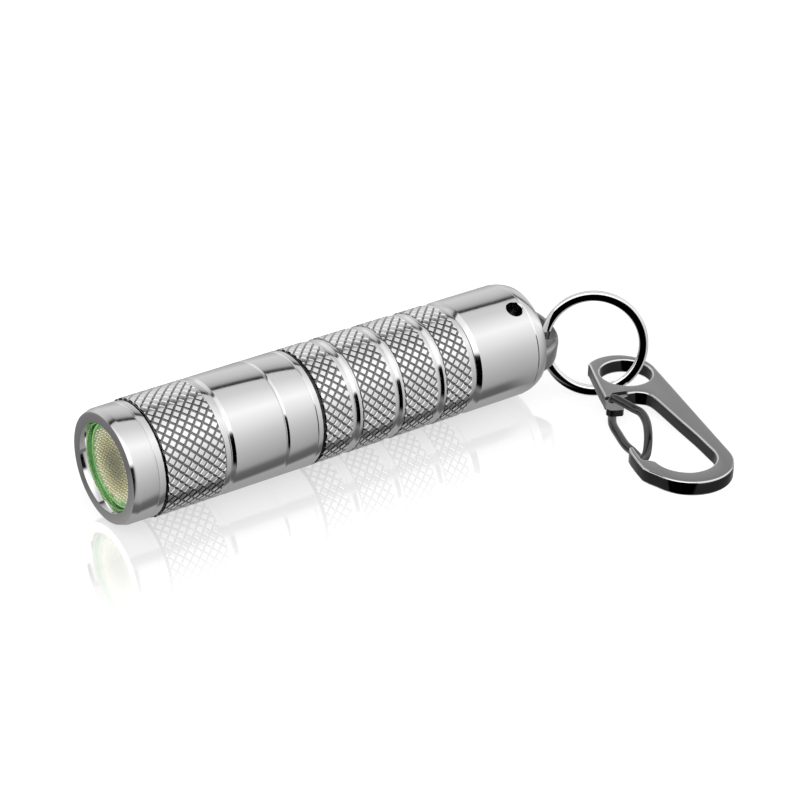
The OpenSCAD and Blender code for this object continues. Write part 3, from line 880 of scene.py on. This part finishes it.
rows = int(FRONT_R / (BEAD * ROW_RATIO)) + 1
columns = int(FRONT_R / BEAD) + 2
for i in range(-rows, rows + 1):
    for j in range(-columns, columns + 1):
        y = (j + 0.5 * (i % 2)) * BEAD
        z = i * BEAD * ROW_RATIO
        if math.hypot(y, z) <= FRONT_R - 0.2:
            add_bead(y, z)
optic_mesh = to_mesh("optic_beaded", bm)
finish_object("optic_beaded", optic_mesh, [optic_mat], "head", ["optic"], 50)

# Glow ring and window

GLOW_R = high("glow_ring", 2)
GLOW_X = (low("glow_ring", 0) + high("glow_ring", 0)) / 2
GLOW_W = (high("glow_ring", 0) - low("glow_ring", 0)) / 2 - 0.09
GLOW_STEPS = 20
glow_profile = []
for k in range(GLOW_STEPS):
    a = 2 * math.pi * k / GLOW_STEPS
    glow_profile.append((GLOW_R - 0.22 + GLOW_W * math.cos(a), GLOW_X + GLOW_W * math.sin(a)))
glow_mesh = turned_mesh("glow_ring_round", glow_profile)
finish_object("glow_ring_round", glow_mesh, [glow], "head", ["glow_ring"], 60)

LENS_R = high("lens", 2)
LENS_X = low("lens", 0)
LENS_END = high("lens", 0)
lens_profile = [(0, LENS_X), (LENS_R - 0.1, LENS_X), (LENS_R, LENS_X + 0.1), (LENS_R, LENS_END - 0.1),
                (LENS_R - 0.1, LENS_END), (0, LENS_END)]
lens_mesh = turned_mesh("window_disc", eased(lens_profile, 0.05, False), False)
finish_object("window_disc", lens_mesh, [glass], "head", ["lens"])

# The ring, hook and gate are left out of the mirror images
for name in ("split_ring_wire", "hook_plate", "gate_loop"):
    bpy.data.objects[name].visible_glossy = False

# Finishes for the CAD pieces that stay

FINISH = {
    "black_rubber": rubber, "white_board": board_white, "gold_metal": plated, "led_resin": resin,
    "black_plastic": black_parts, "red_wire": red_wire, "green_board": board_green, "cell_steel": cell_steel,
    "cell_wrap": cell_film, "silver_body": satin, "clear_glass": glass, "optic_plastic": optic_mat,
    "green_glow": glow, "bright_chrome": chrome, "dark_hook": hook_side_painted_shade, "dark_wire": gate_metal
}
slot_of = {s["node"]: s["material_slot"] for s in record["subparts"]}
for name, obj in frame["nodes"].items():
    obj.data.materials.clear()
    obj.data.materials.append(FINISH[slot_of[name]])

# Studio floor

FLOOR_Z = -BODY_R
STAGE_HALF = 4000.0
FLOOR_GLOW = 0.89
FLOOR_TONE = 0.5
MIRROR_ROUGH = 0.035
# The mirror image's share of the floor, over this distance to either side of the axis
MIRROR_FADE = (9 * MM, 32 * MM)
MIRROR_SHARE = (0.4, 0.06)


def blank_material(name):
    """A material with nothing but its output node."""
    m = bpy.data.materials.new(name)
    m.use_nodes = True
    m.node_tree.nodes.clear()
    return m, m.node_tree, m.node_tree.nodes.new("ShaderNodeOutputMaterial")


def mix_shaders(tree, share, first, second):
    mix = tree.nodes.new("ShaderNodeMixShader")
    link(tree, share, mix.inputs["Fac"])
    link(tree, first, mix.inputs[1])
    link(tree, second, mix.inputs[2])
    return mix.outputs["Shader"]


def floor_finish():
    """Evenly bright white that takes soft shadows, with a mirror image that fades to the sides."""
    m, tree, out = blank_material("floor_gloss_white")
    white = tree.nodes.new("ShaderNodeEmission")
    white.inputs["Strength"].default_value = FLOOR_GLOW
    diffuse = tree.nodes.new("ShaderNodeBsdfDiffuse")
    diffuse.inputs["Color"].default_value = (FLOOR_TONE, FLOOR_TONE, FLOOR_TONE, 1)
    both = tree.nodes.new("ShaderNodeAddShader")
    link(tree, white.outputs["Emission"], both.inputs[0])
    link(tree, diffuse.outputs["BSDF"], both.inputs[1])
    gloss = tree.nodes.new("ShaderNodeBsdfAnisotropic")
    gloss.inputs["Color"].default_value = (1, 1, 1, 1)
    gloss.inputs["Roughness"].default_value = MIRROR_ROUGH
    place = tree.nodes.new("ShaderNodeNewGeometry")
    spot = separate(tree, place.outputs["Position"])
    sideways = calculate(tree, "ABSOLUTE", spot.outputs["Y"])
    share = map_range(tree, sideways, MIRROR_FADE, MIRROR_SHARE)
    mixed = mix_shaders(tree, share, both.outputs["Shader"], gloss.outputs["BSDF"])
    link(tree, mixed, out.inputs["Surface"])
    return m


def level_plane(name, z, finish):
    """A very large level square."""
    half = STAGE_HALF * MM
    mesh = bpy.data.meshes.new(name)
    mesh.from_pydata([(-half, -half, 0), (half, -half, 0), (half, half, 0), (-half, half, 0)],
                     [], [(0, 1, 2, 3)])
    mesh.materials.append(finish)
    plane = bpy.data.objects.new(name, mesh)
    plane.location = (0, 0, z * MM)
    bpy.context.scene.collection.objects.link(plane)
    return plane


floor = level_plane("floor", FLOOR_Z - 0.02, floor_finish())
floor.visible_glossy = False

# Card under the floor, seen only in reflections: it gives the lower half of the body its tones

CARD_LOW = -60.0
CARD_HIGH = 80.0
# Brightness at distances across the card, in millimetres
CARD_STOPS = ((-60, 0.5), (-24, 0.5), (-13, 0.38), (-10.3, 0.15), (-7.6, 0.12), (-7.2, 0.42), (2, 0.28),
              (12, 0.17), (34, 0.22), (60, 0.5))
CARD_TINT = (1.0, 0.98, 0.99)
# The card ends softly towards the tail and towards the near side
CARD_END = (62 * MM, 68 * MM)
CARD_NEAR = (-15 * MM, -10.5 * MM)


def card_finish():
    m, tree, out = blank_material("card_grey")
    emit = tree.nodes.new("ShaderNodeEmission")
    place = tree.nodes.new("ShaderNodeNewGeometry")
    spot = separate(tree, place.outputs["Position"])
    across_y = map_range(tree, spot.outputs["Y"], (CARD_LOW * MM, CARD_HIGH * MM))
    stops = []
    for y, value in CARD_STOPS:
        shade = tuple(value * tint for tint in CARD_TINT)
        stops.append(((y - CARD_LOW) / (CARD_HIGH - CARD_LOW), shade))
    link(tree, color_ramp(tree, across_y, stops), emit.inputs["Color"])
    along_x = map_range(tree, spot.outputs["X"], CARD_END, (1.0, 0.0), smooth=True)
    near_y = map_range(tree, spot.outputs["Y"], CARD_NEAR, smooth=True)
    cover = calculate(tree, "MULTIPLY", along_x, near_y)
    clear = tree.nodes.new("ShaderNodeBsdfTransparent")
    mixed = mix_shaders(tree, cover, clear.outputs["BSDF"], emit.outputs["Emission"])
    link(tree, mixed, out.inputs["Surface"])
    return m


card = level_plane("reflection_card", FLOOR_Z - 0.05, card_finish())
card.visible_camera = False
card.visible_diffuse = False
card.visible_shadow = False

# World: soft light from all round, graded by the angle about the flashlight's axis

# Angle in degrees from straight up, positive towards the near side, and brightness
SKY_STOPS = (
    (-180, 0.3), (-120, 0.45), (-95, 0.5), (-72, 0.74), (-55, 0.68), (-43, 0.6), (-32, 0.42),
    (-26, 0.04), (-20.5, 0.02), (-19.5, 0.7), (0, 0.76), (38, 1.15), (62, 0.95), (85, 0.72),
    (106, 0.58), (130, 0.46), (155, 0.34), (180, 0.28)
)
# Between these angles the light has a little less green
TINTED = (60, 170)
TINT = 0.985
# A dark flag low on the near left side, and a brighter panel above it
FLAG_LEFT = (-0.22, -0.34)
FLAG_LOW = (66, 76)
PANEL_GAIN = 0.35
FLAG_GAIN = -1.0


def share_of_turn(degrees):
    return (degrees + 180) / 360


def sky_color(degrees, value):
    tint = TINT if TINTED[0] < degrees < TINTED[1] else 1.0
    return (value, value * tint, value * (1 + tint) / 2)


world = bpy.data.worlds.new("studio")
bpy.context.scene.world = world
world.use_nodes = True
tree = world.node_tree
tree.nodes.clear()
out = tree.nodes.new("ShaderNodeOutputWorld")
back = tree.nodes.new("ShaderNodeBackground")
coord = tree.nodes.new("ShaderNodeTexCoord")
direction = separate(tree, coord.outputs["Generated"])
nearward = calculate(tree, "MULTIPLY", direction.outputs["Y"], -1)
angle = calculate(tree, "ARCTAN2", nearward, direction.outputs["Z"])
round_turn = map_range(tree, angle, (-math.pi, math.pi))
sky = [(share_of_turn(degrees), sky_color(degrees, value)) for degrees, value in SKY_STOPS]
link(tree, color_ramp(tree, round_turn, sky), back.inputs["Color"])
leftward = map_range(tree, direction.outputs["X"], FLAG_LEFT, smooth=True)
flag_span = (share_of_turn(FLAG_LOW[0]), share_of_turn(FLAG_LOW[1]))
lowness = map_range(tree, round_turn, flag_span, (PANEL_GAIN, FLAG_GAIN), smooth=True)
strength = calculate(tree, "MULTIPLY_ADD", leftward, lowness, 1.0)
link(tree, strength, back.inputs["Strength"])
link(tree, back.outputs["Background"], out.inputs["Surface"])

# Camera: its place in millimetres, and the directions of its right, top and back

CAMERA_PLACE = Vector((-142.76, -260.09, 158.33))
CAMERA_RIGHT = Vector((0.808264, -0.588820, 0.0))
CAMERA_UP = Vector((0.265362, 0.364258, 0.892692))
CAMERA_BACK = Vector((-0.525635, -0.721531, 0.450667))
camera_data = bpy.data.cameras.new("camera")
camera = bpy.data.objects.new("camera", camera_data)
bpy.context.scene.collection.objects.link(camera)
camera_data.sensor_width = 36
camera_data.lens = 118.056
camera_data.clip_start = 0.01
camera_data.clip_end = 20
turn = Matrix((CAMERA_RIGHT, CAMERA_UP, CAMERA_BACK)).transposed().to_4x4()
camera.matrix_world = Matrix.Translation(CAMERA_PLACE * MM) @ turn
bpy.context.scene.camera = camera
bpy.context.scene.view_settings.view_transform = "Standard"
